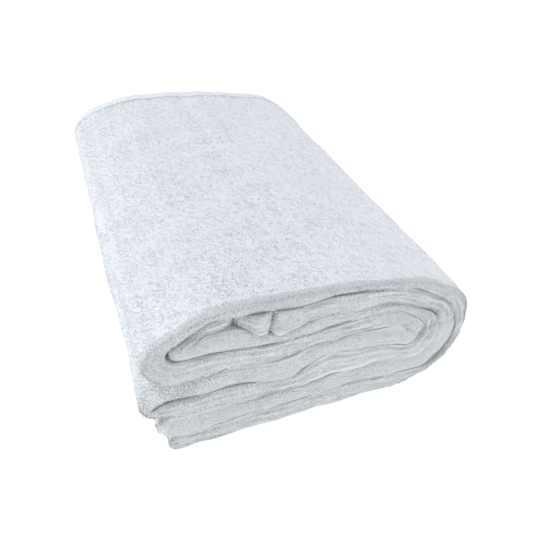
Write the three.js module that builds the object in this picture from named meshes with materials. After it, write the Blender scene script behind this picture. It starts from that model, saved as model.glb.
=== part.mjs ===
import * as THREE from 'three';

// A white terry beach towel, about 70 by 180 cm, folded for a shelf.
// It is folded in half lengthwise, so each layer is two plies that join in a round
// ridge at the near end and lie open, with their hems, at the far end. Then it is
// folded in half three times across, which stacks eight of these layers.
// Millimetres. x runs across the stack, y from the ridges to the hems, z up.

// The cloth
const RIDGE_DEPTH = 5.5;       // how far the near ridge of a layer rounds forward
const RIDGE_FULLNESS = 2.5;   // 2 is a half circle, more is squarer
const LAYER_CLEARANCE = 0.4;  // each face stands this far inside its seam
const PLY_CLEARANCE = 0.4;    // half the gap between the two plies of a layer
const HEM_DEPTH = 10;         // turned hem along the far edges
const HEM_STEP = 1.5;         // the pile ends this far before the hem
const HEM_SHARES = { atStep: 0.84, atEdge: 0.8 };  // of the layer's thickness
const PLY_JOIN = 1;           // cloth behind the ridge before the plies part
const LAYER_PITCH = 13;       // height of one layer at the far end

// The plan
const FRONT_LINE = { atLeft: -13, slope: 0.072 };
const BACK_LINE = { atLeft: 335.5, slope: 0.05 };
const SETTLING_LENGTH = 230;  // the uneven near end evens out over this length

// Seams are the heights where two layers meet, at these distances from the left.
// Seam 0 is the underside, seam 8 the top, and layer n lies between n - 1 and n.
const SEAM_COLUMNS = [10, 26, 44, 76, 109, 142];
const NEAR_SEAMS = [
  [0, 0, 0, 0, 0, 0],
  [15, 14.5, 16, 16.5, 17.5, 18],
  [35, 34, 32, 30, 32.5, 33],
  [50, 49.5, 48, 44, 53, 51],
  [63.5, 63, 63, 61.5, 67, 66.5],
  [80, 79, 78, 77.5, 80, 81.5],
  [93.5, 94, 94.5, 83.5, 90.5, 87.5],
  [93.5, 101.5, 103.5, 102.5, 104.5, 101.5],
  [102, 108.8, 111.5, 112, 110, 106],
];
// The far end is a regular stack, a little lower at its two sides.
const FAR_SEAM_SHARES = [0.935, 0.985, 1.015, 1.032, 1.03, 0.995];

// Folds at the near end. Each row follows one face of the cloth round a fold, as [x, z]
// at five places: lower, low corner, tip, high corner, upper.
// Right-hand folds are nested rings: ring k links seam 4 - k to seam 4 + k.
const NEAR_RINGS = [
  [[155, 65], [166, 62], [173, 57.5], [166, 62], [155, 65]],
  [[163, 47], [176, 44], [186, 51], [184, 61], [174, 70]],
  [[166, 32], [188, 32], [197, 50], [195, 64], [176, 77.5]],
  [[170, 15], [205, 18], [216, 47], [206, 71.5], [180, 89]],
  [[172, 0], [205, 13], [222, 46], [217, 76.5], [185, 96.5]],
];
const NEAR_LEFT_FOLDS = {
  highOutside: [[1, 65], [-9.5, 74], [-13, 82], [-9, 90.5], [0, 96.7]],
  highInside: [[5, 80.5], [2, 83], [1.5, 87], [2.5, 90], [5.5, 91.5]],
  innerOutside: [[13, 80], [7, 82], [3.8, 87], [6, 91.5], [13, 95]],
  innerInside: [[23, 94], [20.5, 93.2], [18.5, 92.2], [20.5, 93.2], [23, 94]],
  lowOutside: [[0, 38], [-11, 40.5], [-15, 48], [-13, 56.5], [0, 62]],
  lowInside: [[2, 49.5], [-3, 48.5], [-6.5, 46.8], [-3, 48.5], [2, 49.5]],
};

// Folds at the far end are arcs. Heights are in layers.
const FAR_RINGS = {
  x: 168, layer: 4, coreReach: 9, reachPerRing: 11.2, layersPerRing: 0.95, sweep: 70,
};
const FAR_LEFT_FOLDS = {
  highOutside: { x: 5, layer: 5.52, reach: 24.5, halfLayers: 1.63 },
  highInside: { x: 6, layer: 5.6, reach: 8, halfLayers: 0.93 },
  innerOutside: { x: 13, layer: 5.6, reach: 8, halfLayers: 0.72 },
  innerInside: { x: 21, layer: 5.7, reach: 5, halfLayers: 0 },
  lowOutside: { x: 5, layer: 3, reach: 21, halfLayers: 0.96 },
  lowInside: { x: 5, layer: 3, reach: 7, halfLayers: 0 },
};
const LEFT_SWEEP = 66;        // degrees either side of straight left

// The towel's two short edges end layers 1 and 2 at the left: [x, z] of the face on the
// left hand and on the right hand, on the way from one short edge to the other.
const NEAR_ENDS = {
  first: { leftHand: [[4, 10]], rightHand: [[4, 4]] },
  last: { leftHand: [[1, 17], [-4, 23]], rightHand: [[1, 35], [-4, 31]] },
};
const FAR_ENDS = {
  first: { leftHand: [[4, 10]], rightHand: [[4, 3.5]] },
  last: { leftHand: [[1, 14], [-4, 17.5]], rightHand: [[1, 24.5], [-4, 21.5]] },
};

// The cloth's way through the stack, from one short edge to the other. ahead is how far
// the near ridge stands forward of the front line at the start and end of each leg, and
// beyond how far the hems pass the back line.
const WAY = [
  { leg: 'firstEnd', ahead: [-4, -2], beyond: [-2, -2] },
  { leg: 'layer', number: 1, ahead: [-1.5, -1], beyond: [-2, 0] },
  { leg: 'ring', inner: 3, outer: 4, rising: true, ahead: [-1, 0], beyond: [0, 1] },
  { leg: 'layer', number: 8, ahead: [0, -3], beyond: [1, 0] },
  { leg: 'leftFold', name: 'high', rising: false, ahead: [-3, 0], beyond: [0, -3] },
  { leg: 'layer', number: 5, ahead: [0, 0], beyond: [-3, -5] },
  { leg: 'ring', inner: 0, outer: 1, rising: false, ahead: [0, 0], beyond: [-5, -5] },
  { leg: 'layer', number: 4, ahead: [0, 0], beyond: [-5, -2] },
  { leg: 'leftFold', name: 'low', rising: false, ahead: [0, 0], beyond: [-2, -2] },
  { leg: 'layer', number: 3, ahead: [0, 0], beyond: [-2, -4] },
  { leg: 'ring', inner: 1, outer: 2, rising: true, ahead: [0, 0], beyond: [-4, -6] },
  { leg: 'layer', number: 6, ahead: [0, -2], beyond: [-6, -7] },
  { leg: 'leftFold', name: 'inner', rising: true, ahead: [-2, -7], beyond: [-7, -6] },
  { leg: 'layer', number: 7, ahead: [-7, 1], beyond: [-6, -3] },
  { leg: 'ring', inner: 2, outer: 3, rising: false, ahead: [1, 0], beyond: [-3, -2] },
  { leg: 'layer', number: 2, ahead: [0, 0], beyond: [-2, -3] },
  { leg: 'lastEnd', ahead: [0, -3], beyond: [-3, -5] },
];
const GOES_RIGHT = { 1: true, 2: false, 3: true, 4: false, 5: true, 6: false, 7: true, 8: false };
// The inner left fold turns at the second column, so its two layers start there.
const FIRST_COLUMN = { 6: 1, 7: 1 };

const COLOUR = 0xf2f4f8;

// How finely the solid is made
const STATION_SPACING = 15;   // along the cloth, on flat stretches
const FOLD_STEPS = 2;         // stations between two places of a fold
const DEPTH_SHARES = [0.09, 0.22, 0.4, 0.6, 0.8];   // from ridge to hem, on a layer's faces
const RIDGE_ANGLES = [90, 58, 30, 0, -30, -58, -90];  // round the ridge, in degrees
const FOLD_PLACES = 5;        // in each row of the fold tables
const SHORTEST_CHORD = 1e-6;  // for folds whose inside is a single line

const degrees = (angle) => (angle * Math.PI) / 180;
const mix = (a, b, share) => a + (b - a) * share;
const smoothStep = (value) => {
  const share = Math.min(Math.max(value, 0), 1);
  return share * share * (3 - 2 * share);
};

// A fold's places round an ellipse, between two angles measured from +x.
function arcPlaces(x, z, reachX, reachZ, fromAngle, toAngle) {
  const places = [];
  for (let place = 0; place < FOLD_PLACES; place += 1) {
    const angle = degrees(mix(fromAngle, toAngle, place / (FOLD_PLACES - 1)));
    places.push([x + reachX * Math.cos(angle), z + reachZ * Math.sin(angle)]);
  }
  return places;
}

function nearSection() {
  return { seams: NEAR_SEAMS, rings: NEAR_RINGS, leftFolds: NEAR_LEFT_FOLDS, ends: NEAR_ENDS };
}

function farSection() {
  const seams = NEAR_SEAMS.map((row, seam) => (
    FAR_SEAM_SHARES.map((share) => seam * LAYER_PITCH * share)));
  const rings = NEAR_RINGS.map((row, ring) => {
    const z = FAR_RINGS.layer * LAYER_PITCH;
    if (ring === 0) return row.map(([x]) => [x, z]);
    const reachX = FAR_RINGS.coreReach + ring * FAR_RINGS.reachPerRing;
    const reachZ = ring * LAYER_PITCH * FAR_RINGS.layersPerRing;
    return arcPlaces(FAR_RINGS.x, z, reachX, reachZ, -FAR_RINGS.sweep, FAR_RINGS.sweep);
  });
  const leftFolds = {};
  for (const [name, fold] of Object.entries(FAR_LEFT_FOLDS)) {
    leftFolds[name] = arcPlaces(fold.x, fold.layer * LAYER_PITCH, fold.reach,
      fold.halfLayers * LAYER_PITCH, 180 + LEFT_SWEEP, 180 - LEFT_SWEEP);
  }
  return { seams, rings, leftFolds, ends: FAR_ENDS };
}

// The places of both faces on one leg, in the order in which the cloth passes them.
function legPlaces(section, leg) {
  if (leg.leg === 'firstEnd') return section.ends.first;
  if (leg.leg === 'lastEnd') return section.ends.last;
  if (leg.leg === 'layer') {
    const first = FIRST_COLUMN[leg.number] ?? 0;
    const seam = (number) => SEAM_COLUMNS
      .map((x, column) => [x, section.seams[number][column]]).slice(first);
    const below = seam(leg.number - 1);
    const above = seam(leg.number);
    return GOES_RIGHT[leg.number]
      ? { leftHand: above, rightHand: below }
      : { leftHand: below.reverse(), rightHand: above.reverse() };
  }
  const ordered = (places) => (leg.rising ? places : [...places].reverse());
  if (leg.leg === 'ring') {
    const inner = ordered(section.rings[leg.inner]);
    const outer = ordered(section.rings[leg.outer]);
    return leg.rising
      ? { leftHand: inner, rightHand: outer }
      : { leftHand: outer, rightHand: inner };
  }
  const inside = ordered(section.leftFolds[`${leg.name}Inside`]);
  const outside = ordered(section.leftFolds[`${leg.name}Outside`]);
  return leg.rising
    ? { leftHand: outside, rightHand: inside }
    : { leftHand: inside, rightHand: outside };
}

// A smooth curve through places. On a layer's leg the tangents come from that leg alone,
// so the two layers that share a seam follow the same line.
class FaceCurve {
  constructor(places, layerSpans) {
    this.places = places;
    const count = places.length;
    this.chords = [];
    const directions = [];
    for (let i = 0; i < count - 1; i += 1) {
      const dx = places[i + 1][0] - places[i][0];
      const dz = places[i + 1][1] - places[i][1];
      const chord = Math.max(Math.hypot(dx, dz), SHORTEST_CHORD);
      this.chords.push(chord);
      directions.push([dx / chord, dz / chord]);
    }
    this.tangents = places.map((place, i) => {
      if (i === 0) return directions[0];
      if (i === count - 1) return directions[count - 2];
      const before = this.chords[i - 1];
      const after = this.chords[i];
      return [0, 1].map((axis) => (
        (after * directions[i - 1][axis] + before * directions[i][axis]) / (before + after)));
    });
    for (const [first, last] of layerSpans) {
      this.tangents[first] = directions[first];
      this.tangents[last] = directions[last - 1];
    }
  }

  at(position) {
    const i = Math.min(Math.floor(position), this.places.length - 2);
    const f = position - i;
    const reach = this.chords[i];
    return [0, 1].map((axis) => (
      (2 * f ** 3 - 3 * f ** 2 + 1) * this.places[i][axis]
      + (f ** 3 - 2 * f ** 2 + f) * reach * this.tangents[i][axis]
      + (3 * f ** 2 - 2 * f ** 3) * this.places[i + 1][axis]
      + (f ** 3 - f ** 2) * reach * this.tangents[i + 1][axis]));
  }
}

// Whether a place belongs to a layer that goes left. The first half of a fold belongs to
// the layer before it, and the second half to the layer after it.
function comesBack(leg, place) {
  if (leg.leg === 'layer') return !GOES_RIGHT[leg.number];
  const legBefore = WAY[WAY.indexOf(leg) - 1];
  const legAfter = WAY[WAY.indexOf(leg) + 1];
  const beforeTip = place < (FOLD_PLACES - 1) / 2;
  const neighbour = legBefore && (!legAfter || beforeTip) ? legBefore : legAfter;
  return !GOES_RIGHT[neighbour.number];
}

// Both faces of the cloth at one end of the stack, and what goes with each place.
function faces(section) {
  const leftHand = [];
  const rightHand = [];
  const ahead = [];
  const beyond = [];
  const returning = [];
  const layerSpans = [];
  for (const leg of WAY) {
    const places = legPlaces(section, leg);
    const count = places.leftHand.length;
    if (leg.leg === 'layer') layerSpans.push([leftHand.length, leftHand.length + count - 1]);
    leftHand.push(...places.leftHand);
    rightHand.push(...places.rightHand);
    for (let i = 0; i < count; i += 1) {
      const share = count > 1 ? i / (count - 1) : 0;
      ahead.push(mix(...leg.ahead, share));
      beyond.push(mix(...leg.beyond, share));
      returning.push(comesBack(leg, i));
    }
  }
  return {
    leftHand: new FaceCurve(leftHand, layerSpans),
    rightHand: new FaceCurve(rightHand, layerSpans),
    ahead,
    beyond,
    returning,
    layerSpans,
  };
}

// Positions along the way: closer round the folds than on the flat.
function stationPositions(near) {
  const positions = [];
  const last = near.leftHand.places.length - 1;
  for (let i = 0; i < last; i += 1) {
    const flat = near.layerSpans.some(([first, end]) => i >= first && i < end);
    const chord = Math.max(near.leftHand.chords[i], near.rightHand.chords[i]);
    const steps = flat ? Math.max(1, Math.round(chord / STATION_SPACING)) : FOLD_STEPS;
    for (let step = 0; step < steps; step += 1) positions.push(i + step / steps);
  }
  positions.push(last);
  return positions;
}

// The outline of a double layer from ridge to hem, as one closed line. across is 1 on
// the left-hand face and -1 on the right-hand face; inner marks the faces between the
// plies; share runs from the ridge at 0 to the hem at 1, and offset adds millimetres.
function layerOutline() {
  const face = [
    ...DEPTH_SHARES.map((share) => ({ across: 1, share, offset: 0 })),
    { across: 1, share: 1, offset: -HEM_DEPTH - HEM_STEP },
    { across: HEM_SHARES.atStep, share: 1, offset: -HEM_DEPTH },
    { across: HEM_SHARES.atEdge, share: 1, offset: 0 },
  ];
  const ridge = RIDGE_ANGLES.map((angle) => {
    const sine = Math.sin(degrees(Math.abs(angle)));
    const cosine = Math.max(Math.cos(degrees(angle)), 0);
    return {
      across: Math.sign(angle) * sine ** (2 / RIDGE_FULLNESS),
      share: 0,
      offset: RIDGE_DEPTH * (1 - cosine ** (2 / RIDGE_FULLNESS)),
    };
  });
  const plyFace = [
    { across: 1, share: 0, offset: RIDGE_DEPTH + 2 * PLY_JOIN, inner: true },
    { across: 1, share: 0.5, offset: 0, inner: true },
    { across: 1, share: 1, offset: 0, inner: true },
  ];
  const plyRidge = { across: 0, share: 0, offset: RIDGE_DEPTH + PLY_JOIN, inner: true };
  const mirrored = (points) => points.map((point) => ({ ...point, across: -point.across }));
  return [
    ...[...face].reverse(), ...ridge, ...mirrored(face),
    ...mirrored(plyFace).reverse(), plyRidge, ...plyFace,
  ];
}

function towelGeometry() {
  const near = faces(nearSection());
  const far = faces(farSection());
  const outline = layerOutline();
  const positions = stationPositions(near);
  const valueAt = (values, position) => {
    const i = Math.min(Math.floor(position), values.length - 2);
    return mix(values[i], values[i + 1], position - i);
  };

  const vertices = [];
  for (const position of positions) {
    const ends = [near, far].map((end) => ({
      leftHand: end.leftHand.at(position),
      rightHand: end.rightHand.at(position),
    }));
    const ahead = valueAt(near.ahead, position);
    const beyond = valueAt(near.beyond, position);
    const roughX = ends[0].leftHand[0];
    const frontLine = FRONT_LINE.atLeft + FRONT_LINE.slope * roughX;
    const back = BACK_LINE.atLeft + BACK_LINE.slope * roughX + beyond;
    for (const point of outline) {
      const y = mix(frontLine - ahead, back, point.share) + point.offset;
      const settled = smoothStep((y - frontLine) / SETTLING_LENGTH);
      const [left, right] = ['leftHand', 'rightHand'].map((face) => (
        [0, 1].map((axis) => mix(ends[0][face][axis], ends[1][face][axis], settled))));
      const half = [(left[0] - right[0]) / 2, (left[1] - right[1]) / 2];
      const halfLength = Math.hypot(...half);
      const reach = point.inner ? PLY_CLEARANCE : halfLength - LAYER_CLEARANCE;
      const step = (point.across * reach) / halfLength;
      const x = (left[0] + right[0]) / 2 + half[0] * step;
      const z = (left[1] + right[1]) / 2 + half[1] * step;
      vertices.push(x, y, Math.max(z, LAYER_CLEARANCE));
    }
  }

  const rowLength = outline.length;
  const rows = positions.length;
  const ridgeBetweenPlies = outline.findIndex((point) => point.inner && point.across === 0);
  const triangles = [];
  for (let row = 0; row < rows - 1; row += 1) {
    // A layer that goes left takes the other diagonal, and so does one of the two faces
    // between its plies, so that faces which lie together are alike.
    const returning = near.returning[Math.floor(positions[row])];
    for (let i = 0; i < rowLength; i += 1) {
      const next = (i + 1) % rowLength;
      const a = row * rowLength + i;
      const b = row * rowLength + next;
      const c = a + rowLength;
      const d = b + rowLength;
      if (returning !== (i > ridgeBetweenPlies)) triangles.push(a, b, c, b, d, c);
      else triangles.push(a, b, d, a, d, c);
    }
  }
  // The short edges are flat and upright, so each is filled in its own y and z.
  const endFace = (first) => {
    const corners = outline.map((point, i) => new THREE.Vector2(
      vertices[3 * (first + i) + 1], vertices[3 * (first + i) + 2]));
    return THREE.ShapeUtils.triangulateShape(corners, [])
      .map((corner) => corner.map((i) => first + i));
  };
  for (const [a, b, c] of endFace(0)) triangles.push(a, c, b);
  for (const [a, b, c] of endFace((rows - 1) * rowLength)) triangles.push(a, c, b);

  const geometry = new THREE.BufferGeometry();
  geometry.setAttribute('position', new THREE.Float32BufferAttribute(vertices, 3));
  geometry.setIndex(triangles);
  return geometry;
}

// The origin is under the middle of the folded towel, on the surface it rests on.
function centreOnBase(geometry) {
  geometry.computeBoundingBox();
  const { min, max } = geometry.boundingBox;
  geometry.translate(-(min.x + max.x) / 2, -(min.y + max.y) / 2, -min.z);
}

const geometry = towelGeometry();
centreOnBase(geometry);
geometry.computeVertexNormals();

const terry = new THREE.MeshStandardMaterial({ color: COLOUR, roughness: 0.95, metalness: 0 });
const towel = new THREE.Mesh(geometry, terry);
towel.name = 'towel';

const part = new THREE.Group();
part.add(towel);

export default part;
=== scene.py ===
import logging
import math
from collections.abc import Callable
from dataclasses import dataclass, field
from enum import Enum, IntEnum

import bpy
import numpy as np
from mathutils import Matrix


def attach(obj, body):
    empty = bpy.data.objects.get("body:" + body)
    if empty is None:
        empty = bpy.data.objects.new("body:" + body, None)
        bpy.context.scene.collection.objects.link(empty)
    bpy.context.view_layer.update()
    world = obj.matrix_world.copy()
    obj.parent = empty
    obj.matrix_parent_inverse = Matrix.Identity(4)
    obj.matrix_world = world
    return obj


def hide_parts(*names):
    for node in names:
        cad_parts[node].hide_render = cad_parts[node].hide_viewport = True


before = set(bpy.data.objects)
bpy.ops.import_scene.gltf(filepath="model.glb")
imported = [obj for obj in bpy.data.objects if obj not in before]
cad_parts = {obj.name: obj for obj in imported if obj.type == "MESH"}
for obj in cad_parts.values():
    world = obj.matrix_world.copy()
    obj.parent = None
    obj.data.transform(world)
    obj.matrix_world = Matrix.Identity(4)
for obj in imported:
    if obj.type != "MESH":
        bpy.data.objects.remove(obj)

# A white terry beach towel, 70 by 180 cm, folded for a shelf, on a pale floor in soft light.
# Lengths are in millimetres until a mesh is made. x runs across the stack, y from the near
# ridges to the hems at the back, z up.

logging.basicConfig(level=logging.INFO, format="%(message)s")
LOG = logging.getLogger("towel")

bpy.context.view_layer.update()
METRES = 0.001
STACK_ORIGIN = np.array([101.25, 166.67, 0.4])  # the part's origin, seen from the stack's corner
UNDERSIDE = STACK_ORIGIN[2]  # the height of the lowest cloth
PILE_UNDERSIDE = UNDERSIDE + 0.1
Colour = tuple[float, float, float]


# Numbers

def mix(a: np.ndarray, b: np.ndarray, share: np.ndarray) -> np.ndarray:
    """The value a share of the way from a to b."""
    return a + (b - a) * share


def smooth_step(value: np.ndarray) -> np.ndarray:
    """0 below 0, 1 above 1, and a smooth S between them: 3s² - 2s³."""
    share = np.clip(value, 0.0, 1.0)
    return share * share * (3.0 - 2.0 * share)


def bell(distance: np.ndarray, reach: float) -> np.ndarray:
    """A soft bump, 1 at no distance and nearly 0 at twice the reach."""
    return np.exp(-((distance / reach) ** 2))


def unit(vectors: np.ndarray) -> np.ndarray:
    """The vectors at length 1."""
    lengths = np.linalg.norm(vectors, axis=-1, keepdims=True)
    return vectors / np.maximum(lengths, 1e-9)


def run_length(line: np.ndarray) -> np.ndarray:
    """How far along a line each of its places is, from 0 at the first."""
    return np.concatenate([[0], np.cumsum(np.linalg.norm(np.diff(line, axis=0), axis=1))])


@dataclass(frozen=True)
class Unevenness:
    """Smooth waves without a period that shows.

    wavelength is the usual distance between two crests, most heights lie within 1 height
    of zero, and seed picks the directions and phases of count sines.
    """

    wavelength: float
    height: float
    seed: int
    count: int = 14

    def at(self, points: np.ndarray, variant: int = 0) -> np.ndarray:
        """The height of the waves at each place.

        The formula is the sum of sines in random directions, each with its own phase and a
        wavelength near the given one, divided by the root of their number.

        Args:
            points: places, in any number of dimensions, which the last axis holds.
            variant: picks other directions and phases.

        Returns:
            One height for each place.
        """
        rng = np.random.default_rng(self.seed + variant)
        directions = unit(rng.normal(size=(self.count, points.shape[-1])))
        pitch = 2 * math.pi * rng.uniform(0.75, 1.35, self.count) / self.wavelength
        phases = rng.uniform(0, 2 * math.pi, self.count)
        flat = points.reshape(-1, points.shape[-1])
        sines = np.sin(flat @ (directions * pitch[:, None]).T + phases).sum(axis=-1)
        return (self.height * (sines / math.sqrt(self.count))).reshape(points.shape[:-1])


# The cloth's way through the stack

class LegKind(Enum):
    """What a stretch of the cloth's way is."""

    FIRST_END = "first end"
    LAYER = "layer"
    RING = "ring"
    LEFT_FOLD = "left fold"
    LAST_END = "last end"


class LeftFold(Enum):
    """The folds at the left."""

    HIGH = "high"
    INNER = "inner"
    LOW = "low"


@dataclass(frozen=True)
class Leg:
    """A stretch of the cloth's way, in millimetres.

    ahead is how far the near ridge stands forward of the front line at the leg's start and
    end, and beyond how far the hems pass the back line. number is a layer's, counted from
    the floor. A right-hand fold lies between two nested rings, inner and outer.
    """

    kind: LegKind
    ahead: tuple[float, float]
    beyond: tuple[float, float]
    number: int = 0
    inner: int = 0
    outer: int = 0
    rising: bool = True
    fold: LeftFold | None = None

    @property
    def goes_right(self) -> bool:
        """Odd layers go right and even ones come back."""
        return self.number % 2 == 1

    @property
    def name(self) -> str:
        """What the tables of marks call it.

        Returns:
            A name such as layer 7, ring 1 or high.
        """
        if self.kind is LegKind.LAYER:
            return f"layer {self.number}"
        if self.kind is LegKind.RING:
            return f"ring {self.outer}"
        return self.fold.value if self.fold else self.kind.value


WAY = (
    Leg(LegKind.FIRST_END, (-4, -2), (-2, -2)),
    Leg(LegKind.LAYER, (-1.5, -1), (-2, 0), number=1),
    Leg(LegKind.RING, (-1, 0), (0, 1), inner=3, outer=4, rising=True),
    Leg(LegKind.LAYER, (0, -3), (1, 0), number=8),
    Leg(LegKind.LEFT_FOLD, (-3, 0), (0, -3), fold=LeftFold.HIGH, rising=False),
    Leg(LegKind.LAYER, (0, 0), (-3, -5), number=5),
    Leg(LegKind.RING, (0, 0), (-5, -5), inner=0, outer=1, rising=False),
    Leg(LegKind.LAYER, (0, 0), (-5, -2), number=4),
    Leg(LegKind.LEFT_FOLD, (0, 0), (-2, -2), fold=LeftFold.LOW, rising=False),
    Leg(LegKind.LAYER, (0, 0), (-2, -4), number=3),
    Leg(LegKind.RING, (0, 0), (-4, -6), inner=1, outer=2, rising=True),
    Leg(LegKind.LAYER, (0, -2), (-6, -7), number=6),
    Leg(LegKind.LEFT_FOLD, (-2, -7), (-7, -6), fold=LeftFold.INNER, rising=True),
    Leg(LegKind.LAYER, (-7, 1), (-6, -3), number=7),
    Leg(LegKind.RING, (1, 0), (-3, -2), inner=2, outer=3, rising=False),
    Leg(LegKind.LAYER, (0, 0), (-2, -3), number=2),
    Leg(LegKind.LAST_END, (0, -3), (-3, -5)),
)

# Seams are the heights where two layers meet, at these distances from the left.
SEAM_COLUMNS = (10, 26, 44, 76, 109, 142)
INNER_FOLD_COLUMN = SEAM_COLUMNS[1]  # layers 6 and 7 start here
NEAR_SEAMS = (
    (0, 0, 0, 0, 0, 0),
    (15, 14.5, 16, 16.5, 17.5, 18),
    (35, 34, 32, 30, 32.5, 33),
    (50, 49.5, 48, 44, 53, 51),
    (63.5, 63, 63, 61.5, 67, 66.5),
    (80, 79, 78, 77.5, 80, 81.5),
    (93.5, 94, 94.5, 83.5, 90.5, 87.5),
    (93.5, 101.5, 103.5, 102.5, 104.5, 101.5),
    (102, 108.8, 111.5, 112, 110, 106),
)
FAR_SEAM_SHARES = (0.935, 0.985, 1.015, 1.032, 1.03, 0.995)
LAYER_PITCH = 13.0

# Folds at the near end, along one face of the cloth: lower, low corner, tip, high corner,
# upper, each as x and z.
NEAR_RINGS = (
    ((155, 65), (166, 62), (173, 57.5), (166, 62), (155, 65)),
    ((163, 47), (176, 44), (186, 51), (184, 61), (174, 70)),
    ((166, 32), (188, 32), (197, 50), (195, 64), (176, 77.5)),
    ((170, 15), (205, 18), (216, 47), (206, 71.5), (180, 89)),
    ((172, 0), (205, 13), (222, 46), (217, 76.5), (185, 96.5)),
)
NEAR_LEFT_OUTSIDE = {
    LeftFold.HIGH: ((1, 65), (-9.5, 74), (-13, 82), (-9, 90.5), (0, 96.7)),
    LeftFold.INNER: ((13, 80.2), (6, 81.6), (3.5, 86.5), (6, 91.5), (13, 95)),
    LeftFold.LOW: ((0, 39), (-11, 42.5), (-15, 49), (-13, 56.5), (0, 62)),
}
NEAR_LEFT_INSIDE = {
    LeftFold.HIGH: ((5, 80.5), (2, 83), (1.5, 87), (2.5, 90), (5.5, 91.5)),
    LeftFold.INNER: ((23, 94), (20.5, 93.2), (18.5, 92.2), (20.5, 93.2), (23, 94)),
    LeftFold.LOW: ((2, 49.5), (-3, 48.5), (-6.5, 46.8), (-3, 48.5), (2, 49.5)),
}
NEAR_ENDS = {
    LegKind.FIRST_END: (((4, 10),), ((4, 4),)),
    LegKind.LAST_END: (((1, 17), (-4, 23)), ((1, 35), (-4, 31))),
}
FAR_ENDS = {
    LegKind.FIRST_END: (((4, 10),), ((4, 3.5),)),
    LegKind.LAST_END: (((1, 14), (-4, 17.5)), ((1, 24.5), (-4, 21.5))),
}


@dataclass(frozen=True)
class FarFold:
    """A fold at the far end: an arc about x and a height counted in layers."""

    x: float
    layer: float
    reach: float
    half_layers: float
    middle: float  # degrees from straight right
    sweep: float

    def places(self, count: int = 5) -> np.ndarray:
        """Places round an ellipse, from low to high: centre + reach times cosine and sine.

        Args:
            count: how many.

        Returns:
            x and z, one place to a row.
        """
        way = 1 if self.middle == 0 else -1
        angles = np.radians(self.middle + way * np.linspace(-self.sweep, self.sweep, count))
        x = self.x + self.reach * np.cos(angles)
        z = (self.layer + self.half_layers * np.sin(angles)) * LAYER_PITCH
        return np.stack([x, z], axis=1)


LEFT_SWEEP = 66.0
FAR_LEFT_OUTSIDE = {
    LeftFold.HIGH: FarFold(5, 5.52, 24.5, 1.63, 180, LEFT_SWEEP),
    LeftFold.INNER: FarFold(13, 5.6, 8, 0.72, 180, LEFT_SWEEP),
    LeftFold.LOW: FarFold(5, 3, 21, 0.96, 180, LEFT_SWEEP),
}
FAR_LEFT_INSIDE = {
    LeftFold.HIGH: FarFold(6, 5.6, 8, 0.93, 180, LEFT_SWEEP),
    LeftFold.INNER: FarFold(21, 5.7, 5, 0, 180, LEFT_SWEEP),
    LeftFold.LOW: FarFold(5, 3, 7, 0, 180, LEFT_SWEEP),
}
FAR_RINGS = tuple(FarFold(168, 4, 9 + 11.2 * ring, 0.95 * ring, 0, 70) for ring in range(1, 5))


class FaceCurve:
    """A smooth curve through places in x and z, the same as the solid's."""

    def __init__(self, places: np.ndarray, layer_spans: list[tuple[int, int]]) -> None:
        """Finds the chords, and tangents weighted by them.

        Args:
            places: x and z, one place to a row.
            layer_spans: first and last place of each layer, whose end tangents come from
                the layer alone, so that both layers at a seam follow the same line.
        """
        self.places = places
        steps = np.diff(places, axis=0)
        self.chords = np.maximum(np.linalg.norm(steps, axis=1), 1e-6)
        directions = steps / self.chords[:, None]
        before, after = self.chords[:-1, None], self.chords[1:, None]
        inner = (after * directions[:-1] + before * directions[1:]) / (before + after)
        self.tangents = np.concatenate([directions[:1], inner, directions[-1:]])
        for first, last in layer_spans:
            self.tangents[first] = directions[first]
            self.tangents[last] = directions[last - 1]

    def at(self, positions: np.ndarray) -> np.ndarray:
        """The curve by cubic Hermite steps between its places.

        Args:
            positions: counted in places, so 2.5 is halfway from 2 to 3.

        Returns:
            x and z, one place to a row.
        """
        i = np.clip(positions.astype(int), 0, len(self.places) - 2)
        f = (positions - i)[:, None]
        reach = self.chords[i][:, None]
        return (
            (2 * f**3 - 3 * f**2 + 1) * self.places[i]
            + (f**3 - 2 * f**2 + f) * reach * self.tangents[i]
            + (3 * f**2 - 2 * f**3) * self.places[i + 1]
            + (f**3 - f**2) * reach * self.tangents[i + 1]
        )


@dataclass(frozen=True)
class SeamMark:
    """A place where a seam at the near end lies higher or lower than its smooth line."""

    seam: int
    x: float
    reach: float
    lift: float


SEAM_MARKS = (
    SeamMark(6, 58, 9, -2.5),
    SeamMark(6, 92, 14, 3.4),
    SeamMark(3, 107, 9, 2.8),
    SeamMark(3, 84, 12, -1.6),
    SeamMark(3, 58, 8, -0.8),
    SeamMark(4, 101, 14, 1.2),
    SeamMark(2, 60, 9, -0.6),
    SeamMark(1, 48, 14, 1.0),
    SeamMark(7, 30, 12, 1.2),
    SeamMark(5, 66, 10, -0.8),
)


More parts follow.
